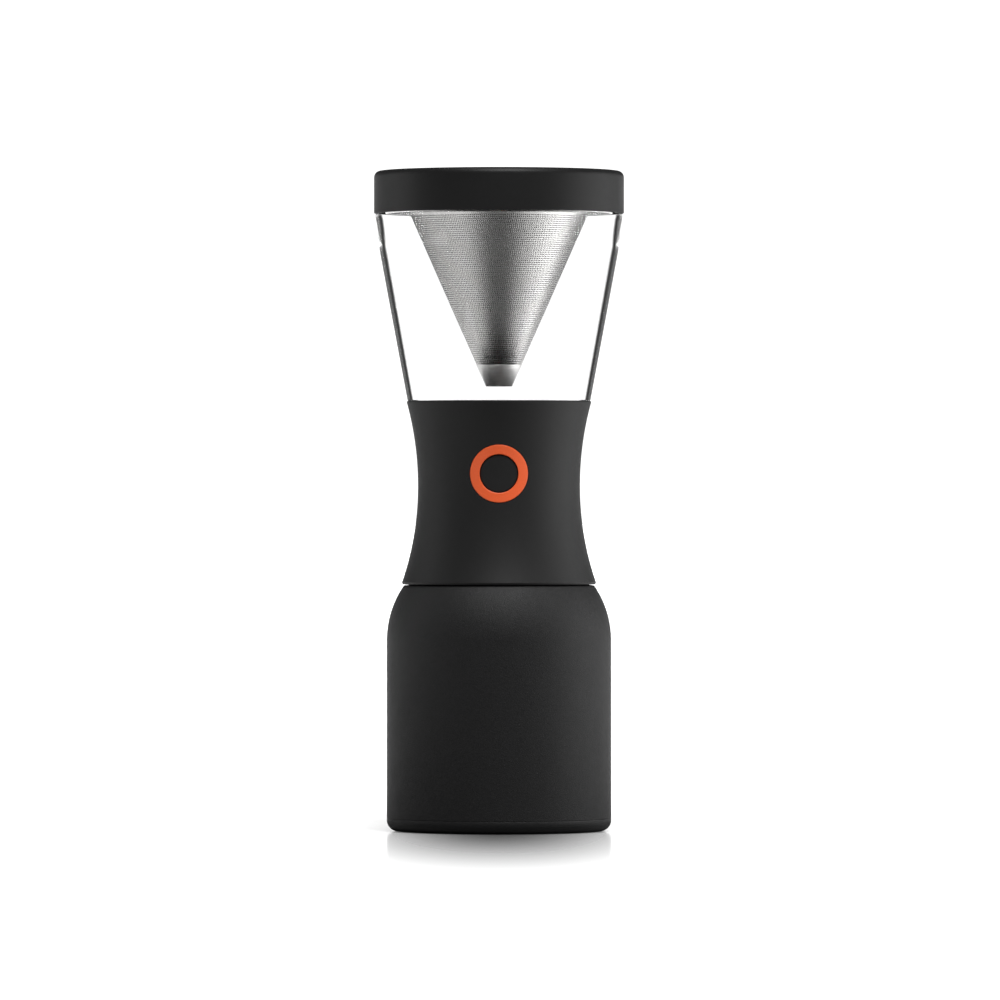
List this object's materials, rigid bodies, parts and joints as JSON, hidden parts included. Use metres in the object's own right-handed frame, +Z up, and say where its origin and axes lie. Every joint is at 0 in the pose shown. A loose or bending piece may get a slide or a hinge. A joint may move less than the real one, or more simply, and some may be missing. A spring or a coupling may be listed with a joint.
{
  "type": "cold brew coffee maker",
  "caption": "Hourglass cold brew coffee maker: clear tapered brew chamber with a steel cone filter and lid, push-button drain in the grip, insulated steel carafe.",
  "frame": {"origin": "centre of the carafe's base, on the table", "axes": "+Z up along the maker's axis; the brew button faces -Y; +X is to the right seen from the front"},
  "size_m": [0.125, 0.125, 0.33],
  "materials": {
    "coated_steel": "matte black powder coat",
    "inner_steel": "brushed stainless steel",
    "braze": "dull braze",
    "getter_steel": "dull",
    "grip_plastic": "fine matte",
    "collar_plastic": "fine matte",
    "clear_plastic": "clear polished",
    "valve_plastic": "satin",
    "button_plastic": "fine matte",
    "orange_plastic": "satin orange",
    "plunger_plastic": "natural acetal",
    "silicone": "translucent silicone",
    "dark_silicone": "matte",
    "spring_steel": "drawn wire",
    "screw_steel": "bright",
    "filter_steel": "perforated stainless steel",
    "filter_bright_steel": "polished stainless steel",
    "lid_plastic": "fine matte"
  },
  "bodies": {
    "carafe": {"carafe_shell": "coated_steel", "carafe_liner": "inner_steel", "carafe_base": "coated_steel", "vacuum_seal": "braze", "getter": "getter_steel"},
    "neck_seal": {"neck_gasket": "silicone"},
    "brewer": {"grip_shell": "grip_plastic", "threaded_collar": "collar_plastic", "brew_chamber": "clear_plastic", "drain_washer": "silicone", "valve_body": "valve_plastic", "chamber_screws": "screw_steel", "collar_screws": "screw_steel", "button_ring": "orange_plastic", "rod_seal": "dark_silicone", "gland_bush": "valve_plastic"},
    "button": {"button_cap": "button_plastic", "plunger": "plunger_plastic", "return_spring": "spring_steel"},
    "valve": {"valve_stem": "plunger_plastic", "valve_stopper": "silicone"},
    "filter": {"filter_rim": "filter_bright_steel", "filter_mesh": "filter_steel", "filter_tip": "filter_bright_steel"},
    "lid": {"lid_cap": "lid_plastic", "lid_seal": "silicone"}
  },
  "joints": [
    {"name": "brewer_lift", "type": "slide", "parent": "carafe", "child": "neck_seal", "axis": [0, 0, 1], "range_m": [0, 0.04]},
    {"name": "brewer_unscrew", "type": "hinge", "parent": "neck_seal", "child": "brewer", "pos_m": [0, 0, 0.15], "axis": [0, 0, 1], "range_deg": [0, 450]},
    {"name": "filter_lift", "type": "slide", "parent": "brewer", "child": "filter", "axis": [0, 0, 1], "range_m": [0, 0.11]},
    {"name": "lid_lift", "type": "slide", "parent": "filter", "child": "lid", "axis": [0, 0, 1], "range_m": [0, 0.04]},
    {"name": "button_press", "type": "slide", "parent": "brewer", "child": "button", "axis": [0, 1, 0], "range_m": [0, 0.006], "stiffness_N_per_m": 300, "springref_m": -0.005, "deforming": ["return_spring"]},
    {"name": "valve_lift", "type": "slide", "parent": "brewer", "child": "valve", "axis": [0, 0, 1], "range_m": [0, 0.0042]}
  ],
  "couplings": [
    {"joint": "valve_lift", "follows": "button_press", "ratio": 0.66667}
  ]
}
